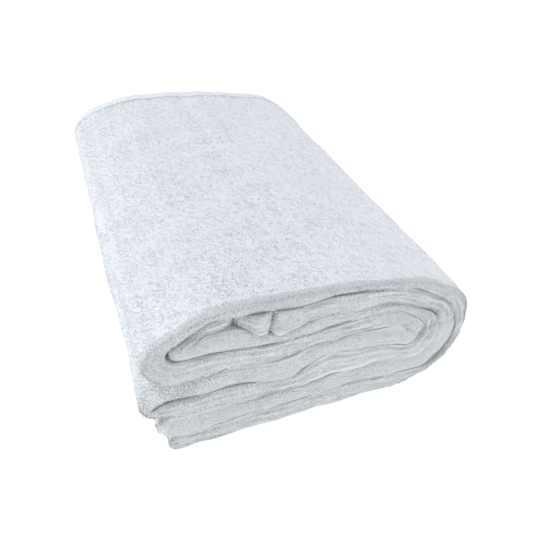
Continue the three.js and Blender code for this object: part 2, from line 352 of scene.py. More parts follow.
@dataclass
class Section:
    """One end of the stack, seen end on."""

    seams: np.ndarray
    columns: np.ndarray
    rings: list[np.ndarray]
    outside: dict[LeftFold, np.ndarray]
    inside: dict[LeftFold, np.ndarray]
    ends: dict[LegKind, tuple]

    def faces(self, leg: Leg) -> tuple[np.ndarray, np.ndarray]:
        """The places of both faces on one leg.

        Args:
            leg: the stretch of the way.

        Returns:
            The face on the left hand and the one on the right hand, as the cloth goes.
        """
        if leg.kind in self.ends:
            left, right = self.ends[leg.kind]
            return np.array(left, float), np.array(right, float)
        if leg.kind is LegKind.LAYER:
            used = self.columns >= (INNER_FOLD_COLUMN if leg.number in (6, 7) else 0)
            below, above = (
                np.stack([self.columns, self.seams[seam]], axis=1)[used]
                for seam in (leg.number - 1, leg.number)
            )
            return (above, below) if leg.goes_right else (below[::-1], above[::-1])
        order = 1 if leg.rising else -1
        if leg.kind is LegKind.RING:
            inner, outer = self.rings[leg.inner][::order], self.rings[leg.outer][::order]
            return (inner, outer) if leg.rising else (outer, inner)
        inside, outside = self.inside[leg.fold][::order], self.outside[leg.fold][::order]
        return (outside, inside) if leg.rising else (inside, outside)


@dataclass
class Outline:
    """A double layer's outline, from the gap between the plies round both faces and back.

    Each point has an angle on the ridge (90 on the left-hand face, -90 on the right-hand
    one), a part of the way from ridge to hem, distances behind the ridge and before the
    hem's edge, a share of the layer's half thickness, a side of the ply gap, and 1 on the
    flat hem. A table of points has its columns in that order.
    """

    angle: np.ndarray
    part: np.ndarray
    behind: np.ndarray
    before: np.ndarray
    share: np.ndarray
    ply: np.ndarray
    hem: np.ndarray

    @property
    def count(self) -> int:
        """How many points it has."""
        return len(self.angle)


# Distance before the hem's edge, and the share of the thickness there
HEM_PROFILE = ((0.0, 0.76), (0.9, 0.88), (3.0, 0.93), (7.0, 0.94), (9.6, 0.91), (10.9, 0.86),
               (11.7, 0.81), (12.5, 0.86), (13.4, 0.95), (15.0, 1.0), (18.0, 1.0), (22.0, 1.0))
HEM_WIDTH = 13.2
EDGE_TURNS = (150, 115, 75, 30)  # round the hem's edge, in degrees from its outer face
EDGE_REACH = 1.3
RIDGE_ZONE, HEM_ZONE = 29.0, 26.0
NEAR_STEPS = (22.4, 17.2, 13.0, 9.6, 6.8, 4.4, 2.6, 1.2)


def towel_outline(ridge_steps: int = 9, middle_steps: int = 42) -> Outline:
    """The outline's points, in order.

    Args:
        ridge_steps: points on each half of the ridge.
        middle_steps: points on each face between the ridge's and the hem's own.

    Returns:
        The outline, with the left-hand face first.
    """
    gap = [(90, 0, 9, 0, 0, 1, 0), (90, 0.5, 0, 0, 0, 1, 0),
           (90, 1, 0, 12, 0, 1, 1), (90, 1, 0, 1, 0, 1, 1)]
    edge = []
    for turn in np.radians(EDGE_TURNS):
        swing = (1 + math.cos(turn)) / 2
        reach = -EDGE_REACH * math.sin(turn)
        edge.append((90, 1, 0, reach, HEM_PROFILE[0][1] * swing, 1 - swing, 1))
    face = [(90, 1, 0, before, share, 0, float(before < HEM_WIDTH))
            for before, share in HEM_PROFILE]
    face += [(90, part, RIDGE_ZONE, HEM_ZONE, 1, 0, 0)
             for part in np.linspace(1, 0, middle_steps)]
    face += [(90, 0, behind, 0, 1, 0, 0) for behind in NEAR_STEPS]
    half = [(angle, 0, 0, 0, 1, 0, 0) for angle in np.linspace(90, 0, ridge_steps + 1)]
    left = gap + edge + face + half
    right = [(-row[0], *row[1:5], -row[5], row[6]) for row in left[-2::-1]]
    middle = [(0, 0, 8, 0, 0, 0, 0)]
    return Outline(*np.array(left + right + middle, float).T)


@dataclass(frozen=True)
class RidgeMark:
    """A place on a leg where the near ridge stands forward, or back if negative.

    share runs along the leg from left to right on a layer, and from low to high on a fold.
    deepen makes the rounding reach further back, twist moves the crest towards the face on
    the left hand, and rounder takes some of its squareness away.
    """

    leg: str
    share: float
    reach: float
    forward: float
    deepen: float = 0.0
    twist: float = 0.0
    rounder: float = 0.0


RIDGE_MARKS = (
    # the inner fold's upper layer lies back at its left end, then puffs out in two lobes
    RidgeMark("inner", 0.25, 6.0, 0.6),
    RidgeMark("inner", 0.9, 8.0, 2.4, deepen=1.5, rounder=0.3),
    RidgeMark("layer 7", 0.03, 7.0, 1.4),
    RidgeMark("layer 7", 0.13, 2.2, -4.0),
    RidgeMark("layer 7", 0.245, 7.0, 4.8),
    RidgeMark("layer 7", 0.33, 1.3, -3.4),
    RidgeMark("layer 7", 0.38, 5.0, 2.4),
    RidgeMark("layer 7", 0.62, 30.0, 2.2),
    RidgeMark("layer 6", 0.0, 20.0, 0.6, deepen=1.2, rounder=0.3),
    # the innermost fold ends in two lumps with a pinch between them
    RidgeMark("ring 1", 0.50, 2.0, -1.8),
    RidgeMark("ring 1", 0.22, 4.0, 1.0),
    RidgeMark("ring 1", 0.80, 4.5, 1.0),
    # the folds round it are creased, most where they turn down
    RidgeMark("ring 2", 0.55, 12.0, 0.0, deepen=1.5),
    RidgeMark("ring 2", 0.62, 2.0, -1.8),
    RidgeMark("ring 2", 0.80, 2.6, 1.0),
    RidgeMark("ring 3", 0.80, 14.0, 0.0, deepen=1.8),
    RidgeMark("ring 3", 0.62, 2.6, -1.6),
    RidgeMark("ring 3", 0.76, 3.4, 1.4),
    RidgeMark("ring 4", 0.35, 34.0, 2.0),
    RidgeMark("ring 4", 0.85, 16.0, 0.0, deepen=1.2),
    # the low fold's upper layer turns its outer face up towards the left
    RidgeMark("layer 4", 0.0, 15.0, 0.4, deepen=6.5, twist=0.46, rounder=0.4),
    RidgeMark("low", 0.8, 9.0, -0.6, deepen=1.5, twist=0.3),
    RidgeMark("low", 0.2, 9.0, 0.8),
    RidgeMark("layer 3", 0.08, 18.0, 2.4, deepen=1.5),
    RidgeMark("layer 4", 0.56, 5.0, 0.8),
    RidgeMark("layer 5", 0.50, 4.0, -0.8),
    RidgeMark("layer 7", 0.80, 14.0, 0.8),
    # the top layer's ridge tucks under along its left half
    RidgeMark("layer 8", 0.35, 70.0, 0.0, deepen=0.5, twist=-0.35),
)


@dataclass
class FoldedStack:
    """The folded cloth as a surface of two parameters: the way along it and its outline."""

    ridge_depth: float = 1.7
    ridge_fullness: float = 2.0
    ahead_share: float = 0.55  # the ridges lie nearer to one line than the solid's
    clearance: float = 0.1
    ply_gap: float = 0.4
    front_left: float = -13.0
    front_slope: float = 0.072
    back_left: float = 335.5
    back_slope: float = 0.05
    settling: float = 230.0
    column_steps: tuple[int, int] = (3, 16)  # before and after the inner fold's own column
    buckled: tuple[str, float] = ("layer 7", 0.55)  # a leg, and how far its lobes reach
    depth_waves: Unevenness = Unevenness(30.0, 0.08, seed=6)
    fullness_waves: Unevenness = Unevenness(27.0, 0.14, seed=5)
    far_seam_waves: Unevenness = Unevenness(30.0, 0.4, seed=60)
    seam_waves: tuple[Unevenness, ...] = (
        Unevenness(40.0, 0.25, seed=40), Unevenness(15.0, 0.10, seed=40))
    ridge_waves: tuple[Unevenness, ...] = (
        Unevenness(50.0, 0.45, seed=11), Unevenness(17.0, 0.15, seed=11))
    near: tuple[FaceCurve, FaceCurve] = field(init=False)
    far: tuple[FaceCurve, FaceCurve] = field(init=False)
    legs: np.ndarray = field(init=False)
    shares: np.ndarray = field(init=False)
    ahead: np.ndarray = field(init=False)
    beyond: np.ndarray = field(init=False)
    spans: list[tuple[int, int]] = field(init=False)

    def __post_init__(self) -> None:
        """Lines up the places of every leg at both ends of the stack."""
        columns = np.concatenate([
            np.linspace(SEAM_COLUMNS[0], INNER_FOLD_COLUMN, self.column_steps[0]),
            np.linspace(INNER_FOLD_COLUMN, SEAM_COLUMNS[-1], self.column_steps[1])[1:],
        ])
        sections = (self.near_section(columns), self.far_section(columns))
        self.spans, legs, shares, ahead, beyond = [], [], [], [], []
        curves = [([], []), ([], [])]
        start = 0
        for number, leg in enumerate(WAY):
            for curve, section in zip(curves, sections):
                for hand, places in zip(curve, section.faces(leg)):
                    hand.append(places)
            count = len(curves[0][0][-1])
            if leg.kind is LegKind.LAYER:
                self.spans.append((start, start + count - 1))
            share = np.linspace(0, 1, count) if count > 1 else np.zeros(1)
            leftward = leg.kind is LegKind.LAYER and not leg.goes_right
            shares.append(1 - share if leftward or not leg.rising else share)
            legs.append(np.full(count, number))
            ahead.append(mix(*leg.ahead, share))
            beyond.append(mix(*leg.beyond, share))
            start += count
        self.near, self.far = (
            tuple(FaceCurve(np.concatenate(hand), self.spans) for hand in curve)
            for curve in curves
        )
        self.legs, self.shares = np.concatenate(legs), np.concatenate(shares)
        self.ahead, self.beyond = np.concatenate(ahead), np.concatenate(beyond)

    def near_section(self, columns: np.ndarray) -> Section:
        """The near end: the seams' smooth lines, with their marks and a slight unevenness.

        Args:
            columns: distances from the left.

        Returns:
            The section.
        """
        seams = []
        for number, heights in enumerate(NEAR_SEAMS):
            curve = FaceCurve(np.stack([SEAM_COLUMNS, heights], axis=1).astype(float), [])
            fine = curve.at(np.linspace(0, len(SEAM_COLUMNS) - 1.001, 200))
            z = np.interp(columns, fine[:, 0], fine[:, 1])
            for mark in SEAM_MARKS:
                if mark.seam == number:
                    z = z + mark.lift * bell(columns - mark.x, mark.reach)
            if number:
                for kind in self.seam_waves:
                    z = z + kind.at(columns[:, None], number)
            seams.append(z)
        return Section(
            np.array(seams), columns, [np.array(ring, float) for ring in NEAR_RINGS],
            {fold: np.array(places, float) for fold, places in NEAR_LEFT_OUTSIDE.items()},
            {fold: np.array(places, float) for fold, places in NEAR_LEFT_INSIDE.items()},
            NEAR_ENDS,
        )

    def far_section(self, columns: np.ndarray) -> Section:
        """The far end: a regular stack, a little lower at its sides, with arcs for folds.

        Args:
            columns: distances from the left.

        Returns:
            The section.
        """
        shares = np.interp(columns, SEAM_COLUMNS, FAR_SEAM_SHARES)
        seams = np.array([seam * LAYER_PITCH * shares for seam in range(len(NEAR_SEAMS))])
        for number in range(1, len(seams)):
            seams[number] += self.far_seam_waves.at(columns[:, None], number)
        core = np.array(NEAR_RINGS[0], float)
        core[:, 1] = 4 * LAYER_PITCH
        return Section(
            seams, columns, [core, *(ring.places() for ring in FAR_RINGS)],
            {fold: shape.places() for fold, shape in FAR_LEFT_OUTSIDE.items()},
            {fold: shape.places() for fold, shape in FAR_LEFT_INSIDE.items()},
            FAR_ENDS,
        )

    def stations(self, flat: float, fold: float) -> np.ndarray:
        """Positions along the way, from one short edge to the other.

        Args:
            flat: spacing on the layers.
            fold: spacing round the folds.

        Returns:
            Positions counted in places.
        """
        chords = np.maximum(self.near[0].chords, self.near[1].chords)
        positions = []
        for i, chord in enumerate(chords):
            on_layer = any(first <= i < last for first, last in self.spans)
            leg, reach = self.buckled
            buckled = WAY[self.legs[i]].name == leg and self.shares[i] < reach
            spacing = flat if on_layer and not buckled else fold
            steps = max(1, math.ceil(chord / spacing))
            positions.append(i + np.arange(steps) / steps)
        return np.concatenate([*positions, [float(len(chords))]])

    def valued(self, values: np.ndarray, positions: np.ndarray) -> np.ndarray:
        """Values given for the places, at positions between them."""
        return np.interp(positions, np.arange(len(values)), values)

    def way_length(self, positions: np.ndarray) -> np.ndarray:
        """How far along the cloth each position is at the near end.

        Args:
            positions: counted in places.

        Returns:
            Lengths in millimetres, along the middle between the two faces.
        """
        fine = np.linspace(0, len(self.legs) - 1, 12 * len(self.legs))
        middle = (self.near[0].at(fine) + self.near[1].at(fine)) / 2
        return np.interp(positions, fine, run_length(middle))

    def place_of(self, leg: str, share: float) -> float:
        """Where on the way a share of a leg is.

        Args:
            leg: its name.
            share: from left to right on a layer, and from low to high on a fold.

        Returns:
            The position, counted in places.
        """
        places = np.flatnonzero([WAY[number].name == leg for number in self.legs])
        order = np.argsort(self.shares[places])
        return float(np.interp(share, self.shares[places][order], places[order].astype(float)))

    def forward(self, positions: np.ndarray) -> np.ndarray:
        """How far the near ridge stands ahead of the front line.

        Args:
            positions: counted in places.

        Returns:
            One distance for each position.
        """
        length = self.way_length(positions)
        result = self.ahead_share * self.valued(self.ahead, positions)
        for kind in self.ridge_waves:
            result = result + kind.at(length[:, None])
        return result + self.marked(positions, lambda mark: mark.forward)

    def marked(self, positions: np.ndarray, trait: Callable[[RidgeMark], float]) -> np.ndarray:
        """One trait of the ridge marks, each as a soft bump along the cloth, added up.

        Args:
            positions: counted in places.
            trait: picks the trait of a mark.

        Returns:
            One value for each position.
        """
        length = self.way_length(positions)
        result = np.zeros(len(positions))
        for mark in RIDGE_MARKS:
            where = self.place_of(mark.leg, mark.share)
            away = length - self.way_length(np.array([where]))
            result = result + trait(mark) * bell(away, mark.reach)
        return result

    def points(self, positions: np.ndarray, outline: Outline) -> np.ndarray:
        """The surface, before its ripples.

        The height and x of a point are mixed from the near and far sections by a smooth
        step of its distance behind the front line. Its y runs from the ridge's
        superellipse to the back line. Across, it stands a share of the half thickness
        from the middle between the two faces, and a twist t adds t(1 - share²) to it.

        Args:
            positions: where along the way, one for each row.
            outline: what part of the double layer, one for each column.

        Returns:
            Places in millimetres, as rows by columns by three.
        """
        length = self.way_length(positions)[:, None]
        fullness = self.ridge_fullness * (1 + self.fullness_waves.at(length))[:, None]
        fullness = fullness - self.marked(positions, lambda mark: mark.rounder)[:, None]
        depth = self.ridge_depth * (1 + self.depth_waves.at(length))[:, None]
        depth = depth + self.marked(positions, lambda mark: mark.deepen)[:, None]
        twist = self.marked(positions, lambda mark: mark.twist)[:, None]
        angle = np.radians(outline.angle)[None, :]
        sine, cosine = np.abs(np.sin(angle)), np.maximum(np.cos(angle), 0)
        across = np.sign(angle) * sine ** (2 / fullness)
        across = (across + twist * (1 - across**2)) * outline.share
        rounding = depth * (1 - cosine ** (2 / fullness))
        near_x = self.near[0].at(positions)[:, 0]
        front = (self.front_left + self.front_slope * near_x)[:, None]
        back = (self.back_left + self.back_slope * near_x)[:, None]
        back = back + self.valued(self.beyond, positions)[:, None] - outline.before
        ridge = front - self.forward(positions)[:, None] + rounding + outline.behind
        y = mix(ridge, back, outline.part)
        settled = smooth_step((y - front) / self.settling)[..., None]
        left, right = (
            mix(near.at(positions)[:, None], far.at(positions)[:, None], settled)
            for near, far in zip(self.near, self.far)
        )
        half = (left - right) / 2
        thick = np.linalg.norm(half, axis=2)
        reach = across * (thick - self.clearance) + np.sign(angle) * outline.ply * self.ply_gap
        xz = (left + right) / 2 + half * (reach / thick)[..., None]
        return np.stack([xz[..., 0], y, np.maximum(xz[..., 1], UNDERSIDE)], axis=-1)


def grid_directions(points: np.ndarray) -> tuple[np.ndarray, np.ndarray, np.ndarray]:
    """Directions on a grid that is closed across its columns.

    Args:
        points: rows by columns by three.

    Returns:
        Unit vectors along the rows, along the columns, and square to both. On the towel
        the last ones point into the cloth.
    """
    along = unit(np.gradient(points, axis=0))
    padded = np.concatenate([points[:, -1:], points, points[:, :1]], axis=1)
    around = unit(padded[:, 2:] - padded[:, :-2])
    return along, around, unit(np.cross(along, around))


def add_object(
    name: str, data: bpy.types.ID, axes: np.ndarray | None = None, place: np.ndarray | None = None,
) -> bpy.types.Object:
    """Puts new data into the scene.

    Args:
        name: the object's name.
        data: its mesh, light or camera.
        axes: its own x, y and z as the columns of a matrix; without them it stays square.
        place: where it stands, in metres; without it, at the origin.

    Returns:
        The object.
    """
    added = bpy.data.objects.new(name, data)
    bpy.context.collection.objects.link(added)
    if axes is not None:
        matrix = np.eye(4)
        matrix[:3, :3], matrix[:3, 3] = axes, place
        added.matrix_world = Matrix(matrix.tolist())
    return added


@dataclass
class MeshParts:
    """Vertices, faces and what the materials read, on the way to a piece."""

    name: str
    vertices: np.ndarray
    quads: np.ndarray | None = None
    triangles: np.ndarray | None = None
    polygons: list[list[int]] = field(default_factory=list)
    uv: np.ndarray | None = None
    tone: np.ndarray | None = None

    def build(self) -> bpy.types.Object:
        """Puts the arrays into a mesh, turned into metres about the part's origin.

        Returns:
            The piece, linked to the scene.
        """
        flat, sizes = [], []
        for faces in (self.quads, self.triangles):
            if faces is not None:
                flat.append(faces.ravel())
                sizes.append(np.full(len(faces), faces.shape[1]))
        for polygon in self.polygons:
            flat.append(np.array(polygon))
            sizes.append(np.array([len(polygon)]))
        corners, totals = np.concatenate(flat), np.concatenate(sizes)
        mesh = bpy.data.meshes.new(self.name)
        mesh.vertices.add(len(self.vertices))
        mesh.loops.add(len(corners))
        mesh.polygons.add(len(totals))
        placed = (self.vertices - STACK_ORIGIN) * METRES
        mesh.vertices.foreach_set("co", placed.astype(np.float32).ravel())
        mesh.loops.foreach_set("vertex_index", corners.astype(np.int32))
        starts = np.concatenate([[0], np.cumsum(totals)[:-1]])
        mesh.polygons.foreach_set("loop_start", starts.astype(np.int32))
        mesh.polygons.foreach_set("use_smooth", np.ones(len(totals), bool))
        mesh.update(calc_edges=True)
        if self.uv is not None:
            layer = mesh.uv_layers.new(name="cloth")
            layer.uv.foreach_set("vector", self.uv[corners].astype(np.float32).ravel())
        if self.tone is not None:
            tone = mesh.attributes.new("tone", "FLOAT", "POINT")
            tone.data.foreach_set("value", self.tone.astype(np.float32))
        mesh.validate()
        return add_object(self.name, mesh)


def closed_grid(rows: int, columns: int, first: int = 0) -> np.ndarray:
    """The quads of a grid whose last column joins its first.

    Args:
        rows, columns: its size.
        first: the number of its first vertex.

    Returns:
        Vertex numbers, one quad to a row.
    """
    row, column = np.meshgrid(np.arange(rows - 1), np.arange(columns), indexing="ij")
    after = (column + 1) % columns
    a, b = row * columns + column, row * columns + after
    return first + np.stack([a, b, b + columns, a + columns], axis=-1).reshape(-1, 4)


@dataclass(frozen=True)
class Spots:
    """Places on the cloth, with unit vectors along its way, round its outline and into it."""

    points: np.ndarray
    along: np.ndarray
    around: np.ndarray
    inward: np.ndarray


@dataclass
class TowelBody:
    """The cloth itself: both plies, their ridges and their hems, in one closed mesh."""

    stack: FoldedStack
    flat_spacing: float = 4.9
    fold_spacing: float = 2.7
    ridge_radius: float = 7.0
    streak_stretch: float = 9.0  # how much longer than wide a streak is
    streak_reach: float = 13.0  # behind the ridge
    pucker_middle: float = 8.0  # before the hem's edge
    pucker_reach: float = 14.0
    top_height: float = 104.0
    flattening: float = 0.4  # of the slow waves, across the layers
    streaks: Unevenness = Unevenness(4.4, 0.13, seed=21)
    fine_waves: Unevenness = Unevenness(7.5, 0.05, seed=22)
    puckers: Unevenness = Unevenness(9.0, 0.34, seed=23)
    lifts: tuple[Unevenness, ...] = (
        Unevenness(85.0, 1.0, seed=31), Unevenness(33.0, 0.3, seed=33))
    sways: tuple[Unevenness, ...] = (
        Unevenness(90.0, 1.0, seed=32), Unevenness(31.0, 0.45, seed=34))
    lift_size: float = 0.8
    sway_size: float = 0.7
    positions: np.ndarray = field(init=False)
    outline: Outline = field(init=False)
    grid: Spots = field(init=False)

    def __post_init__(self) -> None:
        """Works out the surface with its ripples."""
        self.positions = self.stack.stations(self.flat_spacing, self.fold_spacing)
        self.outline = towel_outline()
        points = self.stack.points(self.positions, self.outline)
        _, _, inward = grid_directions(points)
        points = points + inward * self.ripples(points)[..., None]
        points = points + self.sag(points)
        points[..., 2] = np.maximum(points[..., 2], UNDERSIDE)
        self.grid = Spots(points, *grid_directions(points))

    def ripples(self, points: np.ndarray) -> np.ndarray:
        """How far the faces sink or rise: streaks on the ridges, puckers at the hem.

        The streaks are waves of the length along the cloth, drawn out, and of the way round
        the ridge and on down the face. Bells of the distance behind the ridge and before
        the hem's edge keep them and the puckers in their place.

        Args:
            points: the surface, rows by columns by three.

        Returns:
            One distance for each point, and none inside the double layer.
        """
        y = points[..., 1]
        length = np.broadcast_to(self.stack.way_length(self.positions)[:, None], y.shape)
        behind = y - y.min(axis=1, keepdims=True)
        before = y.max(axis=1, keepdims=True) - y
        down_face = np.sign(self.outline.angle) * np.maximum(behind - 6.0, 0)
        round_ridge = np.radians(self.outline.angle) * self.ridge_radius
        streak_at = np.stack([length / self.streak_stretch, round_ridge + down_face], axis=-1)
        on_ridge = self.streaks.at(streak_at) * bell(behind, self.streak_reach)
        at_hem = self.puckers.at(length[..., None]) * bell(before - self.pucker_middle, self.pucker_reach)
        return (self.outline.share > 0.5) * (on_ridge + self.fine_waves.at(points) + at_hem)

    def sag(self, points: np.ndarray) -> np.ndarray:
        """A slow unevenness of the whole stack, the same for faces that lie together.

        Args:
            points: places in millimetres.

        Returns:
            Shifts in x and z, as vectors.
        """
        lift = sum(kind.at(points * np.array([1, 1, self.flattening])) for kind in self.lifts)
        sway = sum(kind.at(points * np.array([self.flattening, 1, 1])) for kind in self.sways)
        height = np.clip(points[..., 2] / self.top_height, 0, 1)
        return np.stack(
            [self.sway_size * sway, np.zeros_like(sway), self.lift_size * lift * height], axis=-1)

    def row_of(self, mark: tuple[str, float]) -> float:
        """The grid's row at a share of a leg."""
        place = self.stack.place_of(*mark)
        return float(np.interp(place, self.positions, np.arange(len(self.positions))))

    def crest_column(self) -> int:
        """The outline's column at the ridge's crest."""
        return int(np.flatnonzero((self.outline.angle == 0) & (self.outline.share > 0))[0])

    def at(self, rows: np.ndarray, columns: np.ndarray) -> Spots:
        """Spots between the grid's points, mixed from the four round each.

        Args:
            rows, columns: where on the grid, with fractions.

        Returns:
            The spots, one to a row.
        """
        low_row = np.clip(rows.astype(int), 0, len(self.positions) - 2)
        low_column = np.clip(columns.astype(int), 0, self.outline.count - 2)
        f, g = (rows - low_row)[:, None], (columns - low_column)[:, None]
        mixed = []
        for values in (self.grid.points, self.grid.along, self.grid.around, self.grid.inward):
            near = mix(values[low_row, low_column], values[low_row, low_column + 1], g)
            far = mix(values[low_row + 1, low_column], values[low_row + 1, low_column + 1], g)
            mixed.append(mix(near, far, f))
        return Spots(mixed[0], *(unit(vectors) for vectors in mixed[1:]))

    def build(self) -> bpy.types.Object:
        """The closed mesh: the grid's quads, and a flat face on each short edge.

        Returns:
            The piece.
        """
        rows, columns = self.grid.points.shape[:2]
        last = (rows - 1) * columns
        u = self.stack.way_length(self.positions)
        v = run_length(self.grid.points[rows // 2])
        uv = np.stack(np.meshgrid(u, v, indexing="ij"), axis=-1).reshape(-1, 2) * METRES
        parts = MeshParts(
            "towel_cloth", self.grid.points.reshape(-1, 3), quads=closed_grid(rows, columns),
            polygons=[list(range(columns))[::-1], list(range(last, last + columns))], uv=uv,
        )
        return parts.build()


# Many small things of one shape

@dataclass(frozen=True)
class Spindles:
    """Closed spindles that all have the same faces.

    Each starts at its root and runs along its axis, and side is a unit vector across it.
    Round the axis it is an ellipse, and along it the ellipse grows and shrinks as the root
    of a sine, so both ends are points. bow pushes its middle towards the axis crossed with
    the side, as a share of the length. tone is a number for the finish.
    """

    roots: np.ndarray
    axis: np.ndarray
    side: np.ndarray
    length: np.ndarray
    width: np.ndarray
    thickness: np.ndarray
    tone: np.ndarray
    bow: float
    rings: int = 1
    corners: int = 4

    def vertices(self) -> np.ndarray:
        """The root, the ellipses' corners and the tip of each one.

        Returns:
            Places as spindles by vertices by three.
        """
        third = np.cross(self.axis, self.side)
        along = np.linspace(0, 1, self.rings + 2)[1:-1]
        turn = 2 * math.pi * np.arange(self.corners) / self.corners
        size = np.sqrt(np.sin(math.pi * along))[None, :, None, None]
        ahead = (self.length[:, None] * along)[..., None]
        bowed = (self.length[:, None] * self.bow * np.sin(math.pi * along))[..., None]
        centre = self.roots[:, None, :] + self.axis[:, None, :] * ahead
        centre += third[:, None, :] * bowed
        across = (self.width[:, None] / 2 * np.cos(turn))[:, None, :, None]
        over = (self.thickness[:, None] / 2 * np.sin(turn))[:, None, :, None]
        reach = self.side[:, None, None, :] * across + third[:, None, None, :] * over
        middle = (centre[:, :, None, :] + size * reach).reshape(len(self.roots), -1, 3)
        tips = self.roots + self.axis * self.length[:, None]
        return np.concatenate([self.roots[:, None], middle, tips[:, None]], axis=1)

    def pattern(self) -> np.ndarray:
        """The triangles of one spindle: a fan, bands between the ellipses, and a fan.

        Returns:
            Vertex numbers, one triangle to a row, with the root 0 and the tip last.
        """
        here = 1 + np.arange(self.corners)
        after = 1 + (np.arange(self.corners) + 1) % self.corners
        faces = [np.stack([np.zeros_like(here), after, here], axis=1)]
        for ring in range(self.rings - 1):
            low, low_after = here + ring * self.corners, after + ring * self.corners
            high, high_after = low + self.corners, low_after + self.corners
            faces += [np.stack([low, low_after, high_after], axis=1),
                      np.stack([low, high_after, high], axis=1)]
        top = (self.rings - 1) * self.corners
        tip = np.full_like(here, 1 + self.rings * self.corners)
        faces.append(np.stack([here + top, after + top, tip], axis=1))
        return np.concatenate(faces)

    def build(self, name: str, floor: float) -> bpy.types.Object:
        """All of them as one piece.

        Args:
            name: the piece's name.
            floor: the height that no part of them is lower than.

        Returns:
            The piece.
        """
        vertices = self.vertices()
        count, size = vertices.shape[:2]
        triangles = (np.arange(count)[:, None, None] * size + self.pattern()).reshape(-1, 3)
        vertices[..., 2] = np.maximum(vertices[..., 2], floor)
        return MeshParts(name, vertices.reshape(-1, 3), triangles=triangles,
                         tone=np.repeat(self.tone, size)).build()


@dataclass(frozen=True)
class PileArea:
    """A part of the cloth that carries loops and can be seen.

    from_leg and to_leg are legs with a share of each. arc_from and arc_to are distances
    from the ridge's crest over the right-hand face, and no arc_to means up to the hem.
    contrast widens the loops' difference in tone, and scale makes them larger and sparser.
    fade is the length over which they thin out at from_leg.
    """

    name: str
    from_leg: tuple[str, float]
    to_leg: tuple[str, float]
    arc_from: float = 4.6
    arc_to: float | None = None
    contrast: float = 1.0
    scale: float = 1.0
    fade: float = 0.0


PILE_AREAS = (
    PileArea("pile_top_right", ("layer 8", 1.0), ("layer 8", 0.5), contrast=2.2, scale=1.18),
    PileArea("pile_top_left", ("layer 8", 0.5), ("layer 8", 0.0), contrast=0.8),
    PileArea("pile_right_foot", ("ring 4", 0.0), ("ring 4", 0.5)),
    PileArea("pile_right_side", ("ring 4", 0.5), ("layer 8", 1.0), contrast=2.0, scale=1.1),
    PileArea("pile_high_fold", ("layer 8", 0.0), ("high", 0.0), arc_from=2.0),
    PileArea("pile_low_lip", ("layer 4", 0.24), ("low", 0.9), arc_from=-0.5, arc_to=17.0,
             contrast=0.7, fade=26.0),
    PileArea("pile_low_fold", ("low", 0.9), ("low", 0.1), arc_from=0.0),
)
RIDGE_PILE = PileArea("pile_on_ridges", ("first end", 0.0), ("last end", 0.0), -7.2, 7.2)


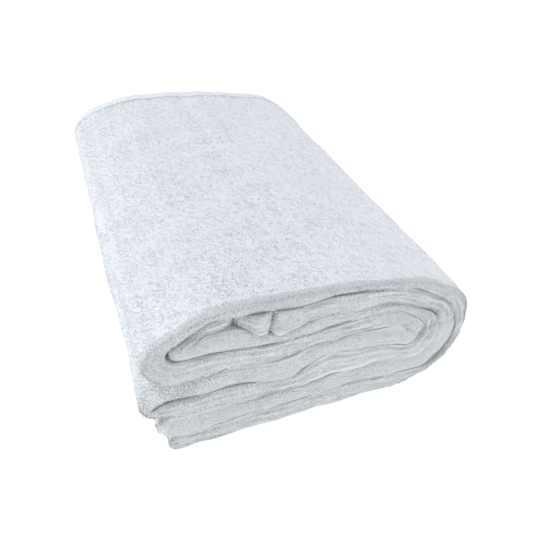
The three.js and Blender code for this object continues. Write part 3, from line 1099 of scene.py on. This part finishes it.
@dataclass
class TerryPile:
    """Loops of the pile, each a small flat spindle that lies the way the nap does.

    A loop starts just above the cloth's face and leans into it, so about half of its
    thickness stands out.
    """

    body: TowelBody
    spacing: float = 1.46
    length: float = 3.5
    width: float = 1.1
    thickness: float = 0.46
    root_height: float = 0.08
    lean: float = 1.5  # degrees into the cloth
    lean_spread: float = 1.5
    bow: float = 0.03  # into the cloth too
    nap: tuple[float, float] = (50.0, 66.0)  # its way at the left and right, from the way along
    nap_columns: tuple[float, float] = (15.0, 145.0)  # where the left ends and the right starts
    swirl: Unevenness = Unevenness(62.0, 10.0, seed=51)  # degrees that it turns to either side
    unrest: float = 9.0  # degrees, from loop to loop
    taper: float = 9.0  # from the first loops to the first that stand up full
    bare_hem: float = 14.4
    row_share: float = 0.87  # the distance between two rows, in spacings
    face_columns: int = 26  # of the outline, from the crest to the face's middle
    seed: int = 7

    def places(self, area: PileArea) -> tuple[np.ndarray, np.ndarray, np.ndarray]:
        """Staggered rows of roots with some jitter.

        Args:
            area: the part of the cloth.

        Returns:
            Rows and columns of the body's grid, with fractions, and how full each loop is.
        """
        rng = np.random.default_rng(self.seed)
        grid, crest = self.body.grid.points, self.body.crest_column()
        spacing = self.spacing * area.scale
        rows, columns = np.arange(grid.shape[0]), np.arange(grid.shape[1])
        gone = run_length(grid[:, crest if area.arc_to else crest + self.face_columns])
        first, last = (np.interp(self.body.row_of(mark), rows, gone)
                       for mark in (area.from_leg, area.to_leg))
        found_rows, found_columns, fullness = [], [], []
        for number, at in enumerate(np.arange(first, last, spacing * self.row_share)):
            row = np.interp(at, gone, rows)
            low = min(int(row), len(grid) - 2)
            line = mix(grid[low], grid[low + 1], row - low)
            arc = run_length(line)
            arc -= arc[crest]
            edge = arc[crest:][np.argmax(line[crest:, 1])]
            start = area.arc_from + (number % 2) * spacing / 2
            wanted = np.arange(start, area.arc_to or edge - self.bare_hem, spacing)
            wanted = wanted + rng.uniform(-0.3, 0.3, len(wanted)) * spacing
            if area.fade:
                wanted = wanted[rng.uniform(0, 1, len(wanted)) < (at - first) / area.fade]
            found_columns.append(np.interp(wanted, arc, columns))
            shift = rng.uniform(-0.4, 0.4, len(wanted)) * spacing
            found_rows.append(np.interp(at + shift, gone, rows))
            fullness.append(smooth_step((wanted - area.arc_from) / max(self.taper, 0.01)))
        return np.concatenate(found_rows), np.concatenate(found_columns), np.concatenate(fullness)

    def build(self, area: PileArea) -> bpy.types.Object:
        """The loops of one area.

        Args:
            area: the part of the cloth.

        Returns:
            The piece.
        """
        rng = np.random.default_rng(self.seed + 1)
        rows, columns, fullness = self.places(area)
        spots = self.body.at(rows, columns)
        count = len(rows)
        left, right = self.nap_columns
        angle = mix(*self.nap, smooth_step((spots.points[:, 0] - left) / (right - left)))
        angle += self.swirl.at(spots.points) + rng.normal(0, self.unrest, count)
        turn = np.radians(angle)[:, None]
        lie = -(spots.along * np.cos(turn) + spots.around * np.sin(turn))
        lean = np.radians(self.lean + rng.normal(0, self.lean_spread, count))[:, None]
        axis = unit(lie * np.cos(lean) + spots.inward * np.sin(lean))
        size = area.scale * rng.uniform(0.75, 1.15, count) * mix(0.55, 1.0, fullness)
        tone = np.clip(0.5 + area.contrast * rng.uniform(-0.5, 0.5, count), 0, 1)
        width = area.scale * self.width * rng.uniform(0.8, 1.15, count) * mix(0.7, 1.0, fullness)
        loops = Spindles(
            spots.points - spots.inward * self.root_height, axis,
            unit(np.cross(spots.inward, axis)), self.length * size, width,
            self.thickness * mix(0.4, 1.0, fullness), tone, self.bow,
        )
        return loops.build(area.name, PILE_UNDERSIDE)


@dataclass
class ShortEdgeHem:
    """A short edge's turned hem, seen where a layer ends: nested strips round its ridge."""

    body: TowelBody
    name: str
    at_start: bool
    shares: tuple[float, ...] = (0.84, 0.5, 0.16)
    shifts: tuple[float, ...] = (-1.9, -1.0, -1.6)
    half_width: float = 2.3
    thickness: float = 2.1
    nesting: float = 6.0
    before: float = 1.5  # the long hem's edge
    face_steps: int = 60
    turn_steps: int = 25
    profile_steps: int = 8
    point_steps: int = 3  # over which a strip's ends come to a point
    thickness_waves: Unevenness = Unevenness(11.0, 0.35, seed=70)
    shift_waves: tuple[Unevenness, ...] = (
        Unevenness(38.0, 0.9, seed=74), Unevenness(8.0, 0.7, seed=78))

    def build(self) -> bpy.types.Object:
        """The strips, as one piece.

        Returns:
            The piece.
        """
        strips = [self.strip(share, shift, number)
                  for number, (share, shift) in enumerate(zip(self.shares, self.shifts))]
        rows, columns = strips[0].shape[:2]
        quads = [closed_grid(rows, columns, number * rows * columns)
                 for number in range(len(strips))]
        points = np.concatenate([strip.reshape(-1, 3) for strip in strips])
        line = np.arange(rows)[:, None] * 2.0 * METRES
        across = np.arange(columns)[None, :] * 0.8 * METRES
        uv = np.stack(np.broadcast_arrays(line, across), axis=-1).reshape(-1, 2)
        parts = MeshParts(self.name, points, quads=np.concatenate(quads),
                          uv=np.tile(uv, (len(strips), 1)))
        return parts.build()

    def middle_line(self, share: float) -> tuple[np.ndarray, np.ndarray]:
        """A strip's middle line: the layer's outline at a share of its thickness.

        Args:
            share: of the layer's half thickness.

        Returns:
            Places along the line, and unit vectors out of the layer's end.
        """
        stack = self.body.stack
        lengthwise = np.linspace(1, 0, self.face_steps) ** 1.5
        face = np.full(self.face_steps, 90.0)
        angle = np.concatenate([face, np.linspace(90, -90, self.turn_steps), -face])
        part = np.concatenate([lengthwise, np.zeros(self.turn_steps), lengthwise[::-1]])
        nested = (1 - share) * self.nesting
        nested = nested * np.maximum(np.cos(np.radians(angle)), 0) ** (2 / stack.ridge_fullness)
        zeros = np.zeros(len(angle))
        outline = Outline(angle, part, nested, np.full(len(angle), self.before),
                          np.full(len(angle), share), zeros, zeros)
        last = len(stack.legs) - 1.0
        ends = np.array([0.0, 0.2]) if self.at_start else np.array([last, last - 0.2])
        middle, inside = stack.points(ends, outline)
        middle = middle + self.body.sag(middle)
        return middle, unit(middle - inside)

    def strip(self, share: float, shift: float, number: int) -> np.ndarray:
        """One strip.

        Round its middle line it is a flattened ellipse that closes to a point at both ends.

        Args:
            share: of the layer's half thickness.
            shift: how far the strip's middle stands out of the layer's end.
            number: picks its unevenness.

        Returns:
            Places as rows by columns by three.
        """
        middle, out = self.middle_line(share)
        normal = unit(np.cross(unit(np.gradient(middle, axis=0)), out))
        thick = self.thickness + self.thickness_waves.at(middle, number)
        for kind in self.shift_waves:
            shift = shift + kind.at(middle, number)
        steps = np.arange(len(middle))
        fullness = np.sqrt(np.clip(np.minimum(steps, steps[::-1]) / self.point_steps, 0, 1))
        turn = np.linspace(0, 2 * math.pi, self.profile_steps, endpoint=False)
        flattened = np.sign(np.sin(turn)) * np.abs(np.sin(turn)) ** 0.8
        lift = (thick / 2 * fullness)[:, None] * flattened
        reach = (self.half_width * fullness)[:, None] * np.cos(turn) + shift[:, None]
        points = middle[:, None] + normal[:, None] * lift[..., None] + out[:, None] * reach[..., None]
        points[..., 2] = np.maximum(points[..., 2], PILE_UNDERSIDE)
        return points


@dataclass
class HemStitches:
    """The thread that holds the long hems down, sunk a little into their groove."""

    body: TowelBody
    spacing: float = 3.3
    length: float = 2.5
    thread: float = 0.62
    before: float = 11.7  # the hem's edge
    depth: float = 0.12
    bow: float = 0.04
    from_ends: float = 4.0

    def build(self) -> bpy.types.Object:
        """Stitches along the right-hand face's groove, from short edge to short edge.

        Returns:
            The piece.
        """
        outline = self.body.outline
        on_face = (outline.angle < 0) & (outline.part == 1) & (outline.ply == 0)
        column = int(np.flatnonzero(on_face & (np.abs(outline.before - self.before) < 0.05))[0])
        gone = run_length(self.body.grid.points[:, column])
        rows = np.arange(len(gone))
        first, last = (np.interp(self.body.row_of((leg, 0.0)), rows, gone)
                       for leg in ("first end", "last end"))
        lengths = np.arange(first + self.from_ends, last - self.from_ends, self.spacing)
        spots = self.body.at(np.interp(lengths, gone, rows), np.full(len(lengths), float(column)))
        thread = np.full(len(lengths), self.thread)
        stitches = Spindles(
            spots.points + spots.inward * self.depth, spots.along,
            unit(np.cross(spots.inward, spots.along)), np.full(len(lengths), self.length), thread,
            thread, np.full(len(lengths), 0.5), self.bow, rings=2, corners=5,
        )
        return stitches.build("hem_stitches", UNDERSIDE)


# Finishes

class Value:
    """A number socket of a node, so that shader maths reads as arithmetic."""

    def __init__(self, shader: "Shader", socket: bpy.types.NodeSocket) -> None:
        """Keeps the tree that the socket belongs to."""
        self.shader, self.socket = shader, socket

    def _maths(self, operation: str, a: "Value | float", b: "Value | float") -> "Value":
        """A Math node on two values."""
        node = self.shader.node("ShaderNodeMath", {"operation": operation}, {0: a, 1: b})
        return Value(self.shader, node.outputs[0])

    def __add__(self, other: "Value | float") -> "Value":
        """self + other."""
        return self._maths("ADD", self, other)

    def __radd__(self, other: float) -> "Value":
        """other + self."""
        return self._maths("ADD", other, self)

    def __sub__(self, other: "Value | float") -> "Value":
        """self - other."""
        return self._maths("SUBTRACT", self, other)

    def __rsub__(self, other: float) -> "Value":
        """other - self."""
        return self._maths("SUBTRACT", other, self)

    def __mul__(self, other: "Value | float") -> "Value":
        """self * other."""
        return self._maths("MULTIPLY", self, other)

    def __rmul__(self, other: float) -> "Value":
        """other * self."""
        return self._maths("MULTIPLY", other, self)

    def sine(self) -> "Value":
        """The sine of it."""
        return self._maths("SINE", self, 0.0)


class Shader:
    """A material whose nodes are added one by one."""

    def __init__(self, name: str) -> None:
        """Starts with a Principled surface and nothing else.

        Args:
            name: the material's name.
        """
        self.material = bpy.data.materials.new(name)
        self.material.use_nodes = True
        self.tree = self.material.node_tree
        self.tree.nodes.clear()
        self.surface = self.node("ShaderNodeBsdfPrincipled")
        output = self.node("ShaderNodeOutputMaterial")
        self.tree.links.new(self.surface.outputs["BSDF"], output.inputs["Surface"])

    def node(self, kind: str, settings: dict | None = None, inputs: dict | None = None) -> bpy.types.Node:
        """Adds a node.

        Args:
            kind: its type.
            settings: its properties, set first; stops are a ramp's positions and colours.
            inputs: values or links, by socket name or number.

        Returns:
            The node.
        """
        node = self.tree.nodes.new(kind)
        for key, value in (settings or {}).items():
            if key != "stops":
                setattr(node, key, value)
                continue
            ramp = node.color_ramp.elements
            while len(ramp) < len(value):
                ramp.new(0.5)
            for element, (position, colour) in zip(ramp, value):
                element.position, element.color = position, (*colour, 1)
        for key, value in (inputs or {}).items():
            self.feed(node.inputs[key], value)
        return node

    def feed(self, socket: bpy.types.NodeSocket, value: object) -> None:
        """Links a socket or sets it.

        Args:
            socket: of one of the nodes.
            value: a Value or another node's socket to link, or else a number or colour.
        """
        if isinstance(value, Value):
            value = value.socket
        if isinstance(value, bpy.types.NodeSocket):
            self.tree.links.new(value, socket)
        else:
            socket.default_value = value

    def place(self) -> bpy.types.NodeSocket:
        """The place on the object, in metres."""
        return self.node("ShaderNodeTexCoord").outputs["Object"]

    def cloth_place(self) -> bpy.types.NodeSocket:
        """The place along and across the cloth, in metres."""
        return self.node("ShaderNodeUVMap", {"uv_map": "cloth"}).outputs["UV"]

    def noise(self, at: bpy.types.NodeSocket, size: float, detail: float = 2.0) -> Value:
        """Soft noise from 0 to 1 whose blotches are about that size, in metres."""
        node = self.node("ShaderNodeTexNoise", None,
                         {"Vector": at, "Scale": 1.0 / size, "Detail": detail, "Roughness": 0.55})
        return Value(self, node.outputs["Fac"])

    def blend(self, share: Value, low: Colour, high: Colour) -> bpy.types.NodeSocket:
        """A colour between two.

        Args:
            share: from 0 to 1.
            low, high: the colours at 0 and at 1.

        Returns:
            The colour's socket.
        """
        node = self.node("ShaderNodeMix", {"data_type": "RGBA", "clamp_factor": True})
        self.feed(node.inputs[0], share)
        self.feed(node.inputs[6], (*low, 1.0))
        self.feed(node.inputs[7], (*high, 1.0))
        return node.outputs[2]

    def bump(self, height: Value, depth: float, strength: float) -> bpy.types.NodeSocket:
        """A bumped normal; depth is the height of the relief in metres."""
        node = self.node("ShaderNodeBump", None,
                         {"Height": height, "Distance": depth, "Strength": strength})
        return node.outputs["Normal"]


@dataclass(frozen=True)
class CottonFinish:
    """What the white cotton finishes share: two whites, a relief and a soft sheen.

    shade and light are the darkest and the lightest white. relief is its height, and blotch
    and grain are the sizes of its coarse and fine unevenness, all in metres.
    """

    name: str
    shade: Colour
    light: Colour
    blotch: float = 0.045
    grain: float = 0.0021
    relief: float = 0.00016
    relief_strength: float = 0.8
    sheen: float = 0.12
    sheen_roughness: float = 0.45
    gloss: float = 0.12

    def unevenness(self, shader: Shader) -> tuple[Value, Value]:
        """Its blotches and its grain, each from 0 to 1."""
        at = shader.place()
        return shader.noise(at, self.blotch), shader.noise(at, self.grain, 3.0)

    def covered(self, shader: Shader, share: Value, roughness: Value, height: Value) -> bpy.types.Material:
        """Joins what makes up the finish to the surface.

        Args:
            shader: the material's nodes.
            share: 0 for the shade and 1 for the light.
            roughness: from 0 to 1.
            height: of the relief, from 0 to about 1.

        Returns:
            The material.
        """
        inputs = shader.surface.inputs
        shader.feed(inputs["Base Color"], shader.blend(share, self.shade, self.light))
        shader.feed(inputs["Roughness"], roughness)
        shader.feed(inputs["Normal"], shader.bump(height, self.relief, self.relief_strength))
        inputs["Sheen Weight"].default_value = self.sheen
        inputs["Sheen Roughness"].default_value = self.sheen_roughness
        inputs["Specular IOR Level"].default_value = self.gloss
        return shader.material


@dataclass(frozen=True)
class TerryFinish(CottonFinish):
    """White cotton terry: uneven whites, from loop to loop if toned, and fuzzy fibres."""

    toned: bool = True
    fibre: float = 0.00042

    def material(self) -> bpy.types.Material:
        """Puts the finish together.

        Returns:
            The material.
        """
        shader = Shader(self.name)
        blotch, grain = self.unevenness(shader)
        share = 0.25 * blotch + 0.3 * grain
        if self.toned:
            tone = shader.node("ShaderNodeAttribute", {"attribute_name": "tone"})
            share = share + 0.8 * Value(shader, tone.outputs["Fac"])
        else:
            share = share + 0.25
        fibres = shader.noise(shader.place(), self.fibre, 3.0)
        return self.covered(shader, share, 0.86 + 0.12 * grain, fibres + 0.8 * grain)


@dataclass(frozen=True)
class PressedTerryFinish(CottonFinish):
    """Terry drawn tight over a fold: faint streaks along it and a fine hatch across."""

    blotch: float = 0.02
    grain: float = 0.0007
    relief: float = 0.0007
    relief_strength: float = 0.9
    streak: tuple[float, float] = (0.009, 0.0013)  # along the cloth and across it
    hatch: tuple[float, float] = (0.0011, 0.0055)

    def material(self) -> bpy.types.Material:
        """Puts the finish together.

        Returns:
            The material.
        """
        shader = Shader(self.name)
        blotch, fuzz = self.unevenness(shader)
        streaks, hatch = self.drawn_noise(shader, self.streak), self.drawn_noise(shader, self.hatch)
        share = 0.35 * blotch + 0.25 * streaks + 0.35 * hatch + 0.15 * fuzz
        height = 0.5 * streaks + 0.9 * hatch + 0.4 * fuzz
        return self.covered(shader, share, 0.85 + 0.12 * fuzz, height)

    def drawn_noise(self, shader: Shader, size: tuple[float, float]) -> Value:
        """Noise that is drawn out along or across the cloth.

        Args:
            shader: the material's nodes.
            size: of its blotches, along the cloth and across it, in metres.

        Returns:
            The noise, from 0 to 1.
        """
        scale = (1 / size[0], 1 / size[1], 1.0)
        drawn = shader.node("ShaderNodeVectorMath", {"operation": "MULTIPLY"},
                            {0: shader.cloth_place(), 1: scale})
        noise = shader.node("ShaderNodeTexNoise", None,
                            {"Vector": drawn.outputs["Vector"], "Scale": 1.0, "Detail": 2.0})
        return Value(shader, noise.outputs["Fac"])


@dataclass(frozen=True)
class WovenFinish(CottonFinish):
    """The flat weave of a hem: fine crossing threads and a slightly uneven white."""

    blotch: float = 0.012
    grain: float = 0.0006
    relief: float = 0.00022
    relief_strength: float = 0.7
    sheen: float = 0.08
    sheen_roughness: float = 0.5
    gloss: float = 0.15
    thread: float = 0.0009

    def material(self) -> bpy.types.Material:
        """Puts the finish together.

        Returns:
            The material.
        """
        shader = Shader(self.name)
        blotch, fuzz = self.unevenness(shader)
        split = shader.node("ShaderNodeSeparateXYZ", None, {0: shader.cloth_place()})
        warp, weft = ((Value(shader, split.outputs[way]) * (2 * math.pi / self.thread)).sine()
                      for way in ("X", "Y"))
        weave = 0.5 + 0.25 * warp + 0.25 * weft
        share = 0.4 * blotch + 0.25 * weave + 0.3 * fuzz
        return self.covered(shader, share, 0.8 + 0.15 * fuzz, weave + 0.6 * fuzz)


@dataclass(frozen=True)
class FloorFinish:
    """A plain pale studio floor that glows a little, so the shadow on it stays light."""

    colour: Colour = (0.93, 0.93, 0.925)
    glow: float = 0.55
    blotch: float = 0.35

    def material(self) -> bpy.types.Material:
        """Puts the finish together.

        Returns:
            The material.
        """
        shader = Shader("pale_floor")
        low = tuple(0.985 * channel for channel in self.colour)
        share = shader.noise(shader.place(), self.blotch)
        inputs = shader.surface.inputs
        shader.feed(inputs["Base Color"], shader.blend(share, low, self.colour))
        inputs["Roughness"].default_value = 0.9
        inputs["Specular IOR Level"].default_value = 0.1
        inputs["Emission Color"].default_value = (1.0, 1.0, 0.985, 1.0)
        inputs["Emission Strength"].default_value = self.glow
        return shader.material


LOOPS = TerryFinish("terry_loops", (0.73, 0.75, 0.78), (0.98, 0.985, 0.99))
# The next two finishes, for the ridges, are darker than the loops on top. This is partly the greyer look
# of terry pressed over a fold, and partly painted shade on the stack's front faces, which turn away from
# the light.
PRESSED_LOOPS_GREY_AND_SHADE = TerryFinish("pressed_loops_grey_and_shade", (0.58, 0.60, 0.61), (0.79, 0.805, 0.815))
RIDGE_GREY_AND_SHADE = PressedTerryFinish("terry_over_folds_grey_and_shade", (0.60, 0.62, 0.635), (0.74, 0.755, 0.765))
UNDER_LOOPS = TerryFinish("terry_under_loops", (0.80, 0.815, 0.84), (0.93, 0.94, 0.955), toned=False)
FLAT_WEAVE = WovenFinish("hem_flat_weave", (0.82, 0.83, 0.85), (0.95, 0.96, 0.97))
SHORT_WEAVE = WovenFinish("short_hem_weave", (0.76, 0.765, 0.745), (0.91, 0.915, 0.90),
                          relief=0.0005, thread=0.0013)
THREAD = TerryFinish("hem_thread", (0.80, 0.81, 0.83), (0.92, 0.93, 0.94), relief=0.00005, fibre=0.0002)


# The studio

def plane_turn(degrees: float, first: int, second: int) -> np.ndarray:
    """A turn from one axis towards another.

    The matrix has the angle's cosine where each axis meets itself, and its sine, once
    negative, where they meet each other.

    Args:
        degrees: how far.
        first, second: the axes, by number.

    Returns:
        The matrix, three by three.
    """
    angle = math.radians(degrees)
    matrix = np.eye(3)
    matrix[first, first] = matrix[second, second] = math.cos(angle)
    matrix[first, second], matrix[second, first] = -math.sin(angle), math.sin(angle)
    return matrix


@dataclass(frozen=True)
class SoftLight:
    """A square soft light that faces the towel, in metres and watts."""

    name: str
    place: tuple[float, float, float]
    size: float
    power: float
    colour: Colour
    faces: tuple[float, float, float] = (0.0, 0.0, 0.06)

    def build(self) -> bpy.types.Object:
        """Sets it up.

        Returns:
            The light.
        """
        data = bpy.data.lights.new(self.name, "AREA")
        data.shape, data.size, data.energy, data.color = "SQUARE", self.size, self.power, self.colour
        back = unit(np.array(self.place) - np.array(self.faces))
        right = unit(np.cross([0, 0, 1], back))
        axes = np.stack([right, np.cross(back, right), back], axis=1)
        return add_object(self.name, data, axes, np.array(self.place))


@dataclass(frozen=True)
class Studio:
    """Floor, light and the camera, which stands where the photograph's did.

    The three angles, in degrees, turn the stack into the camera's view, and its corner
    lies at corner_in_view: right, down and forward of the camera, in millimetres.
    """

    yaw: float = 24.7
    pitch: float = 36.27
    roll: float = 7.45
    corner_in_view: tuple[float, float, float] = (-70.46, 110.23, 358.04)
    focal_pixels: float = 551.26
    frame_pixels: float = 540.0
    sensor: float = 36.0
    floor_reach: float = 6000.0
    floor_gap: float = 0.2
    surrounding: Colour = (0.93, 0.965, 1.0)
    surrounding_strength: float = 0.5
    soft_lights: tuple[SoftLight, ...] = (
        SoftLight("key", (-1.5, 0.1, 2.95), 1.6, 62.0, (0.92, 0.955, 1.0)),
        SoftLight("low", (0.95, -0.6, 0.06), 0.1, 3.4, (0.97, 0.98, 1.0)),
    )

    def camera(self) -> bpy.types.Object:
        """Sets up the camera.

        Returns:
            The camera.
        """
        up_to_back = np.array([[1, 0, 0], [0, 0, -1], [0, 1, 0]], float)
        view = (plane_turn(self.roll, 0, 1) @ plane_turn(self.pitch, 1, 2) @ up_to_back
                @ plane_turn(self.yaw, 0, 1))
        place = (-view.T @ np.array(self.corner_in_view) - STACK_ORIGIN) * METRES
        data = bpy.data.cameras.new("camera")
        data.sensor_width = self.sensor
        data.lens = self.focal_pixels / self.frame_pixels * self.sensor
        data.clip_start, data.clip_end = 0.01, 50
        camera = add_object("camera", data, view.T * np.array([1, -1, -1]), place)
        bpy.context.scene.camera = camera
        return camera

    def floor(self) -> bpy.types.Object:
        """Lays a wide flat floor just under the towel.

        Returns:
            The floor.
        """
        corners = self.floor_reach * np.array([[-1, -1], [1, -1], [1, 1], [-1, 1]])
        vertices = np.column_stack([corners, np.full(4, -self.floor_gap)]) + STACK_ORIGIN
        floor = MeshParts("floor", vertices, polygons=[[0, 1, 2, 3]]).build()
        floor.data.materials.append(FloorFinish().material())
        return floor

    def lights(self) -> None:
        """An even pale surrounding, a large soft light from the upper left, and a faint low one."""
        world = bpy.data.worlds.new("surrounding")
        world.use_nodes = True
        background = world.node_tree.nodes["Background"]
        background.inputs["Color"].default_value = (*self.surrounding, 1.0)
        background.inputs["Strength"].default_value = self.surrounding_strength
        bpy.context.scene.world = world
        for light in self.soft_lights:
            light.build()
        settings = bpy.context.scene.view_settings
        settings.view_transform, settings.look = "Standard", "None"


# The pieces, dressed

def faces_outward(piece: bpy.types.Object) -> bool:
    """Whether a closed mesh's faces point out: the sum of its signed tetrahedra is positive.

    Args:
        piece: the mesh's object.

    Returns:
        True if they do.
    """
    mesh = piece.data
    mesh.calc_loop_triangles()
    points = np.zeros(len(mesh.vertices) * 3)
    corners = np.zeros(len(mesh.loop_triangles) * 3, np.int32)
    mesh.vertices.foreach_get("co", points)
    mesh.loop_triangles.foreach_get("vertices", corners)
    a, b, c = points.reshape(-1, 3)[corners].reshape(-1, 3, 3).transpose(1, 0, 2)
    return float(np.einsum("ij,ij->i", a, np.cross(b, c)).sum()) > 0


def dress(piece: bpy.types.Object, material: bpy.types.Material) -> bpy.types.Object:
    """Gives a piece its finish, its body and its slot, and reports it.

    Args:
        piece: the piece.
        material: its finish.

    Returns:
        The same piece.
    """
    if not faces_outward(piece):
        piece.data.flip_normals()
    piece.data.materials.append(material)
    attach(piece, "root")
    LOG.info("%s: %d triangles", piece.name, sum(len(p.vertices) - 2 for p in piece.data.polygons))
    return piece


class ClothBand(IntEnum):
    """What a band of the cloth's outline is covered with."""

    RIDGE = 0
    HEM = 1
    UNDER_PILE = 2


BAND_FINISHES = {
    # The ridge band's darker whites are partly painted shade on the front faces.
    ClothBand.RIDGE: RIDGE_GREY_AND_SHADE,
    ClothBand.HEM: FLAT_WEAVE,
    ClothBand.UNDER_PILE: UNDER_LOOPS,
}
PILE_BEHIND_RIDGE = 4.0


def dress_cloth(cloth: bpy.types.Object, body: TowelBody) -> None:
    """Gives every face of the cloth the finish of its band of the outline.

    Args:
        cloth: the cloth's piece.
        body: what it was built from.
    """
    first, *others = (BAND_FINISHES[band].material() for band in ClothBand)
    dress(cloth, first)
    for material in others:
        cloth.data.materials.append(material)
    outline, strips = body.outline, len(body.positions) - 1
    under_pile = (outline.part > 0) | (outline.behind > PILE_BEHIND_RIDGE)
    bands = np.where(under_pile, ClothBand.UNDER_PILE, ClothBand.RIDGE)
    bands = np.where(outline.hem > 0, ClothBand.HEM, bands)
    slots = np.full(len(cloth.data.polygons), ClothBand.RIDGE, np.int32)
    slots[:strips * outline.count] = np.tile(bands, strips)
    cloth.data.polygons.foreach_set("material_index", slots)


def main() -> None:
    """Builds the studio and the towel, and hides the part's solid towel."""
    studio = Studio()
    studio.camera()
    studio.lights()
    studio.floor()

    body = TowelBody(FoldedStack())
    cloth = body.build()
    dress_cloth(cloth, body)

    pile, loops = TerryPile(body), LOOPS.material()
    on_cloth = [dress(pile.build(area), loops) for area in PILE_AREAS]
    pressed = TerryPile(body, spacing=1.13, length=2.3, width=0.82, thickness=0.42, nap=(90.0, 90.0),
                        swirl=Unevenness(15.0, 28.0, seed=51), unrest=12.0, taper=0.0)
    on_cloth.append(dress(pressed.build(RIDGE_PILE), PRESSED_LOOPS_GREY_AND_SHADE.material()))
    short_weave = SHORT_WEAVE.material()
    for name, at_start in (("first_short_hem", True), ("last_short_hem", False)):
        on_cloth.append(dress(ShortEdgeHem(body, name, at_start).build(), short_weave))
    on_cloth.append(dress(HemStitches(body).build(), THREAD.material()))

    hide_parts("towel")


if __name__ == "__main__":
    main()
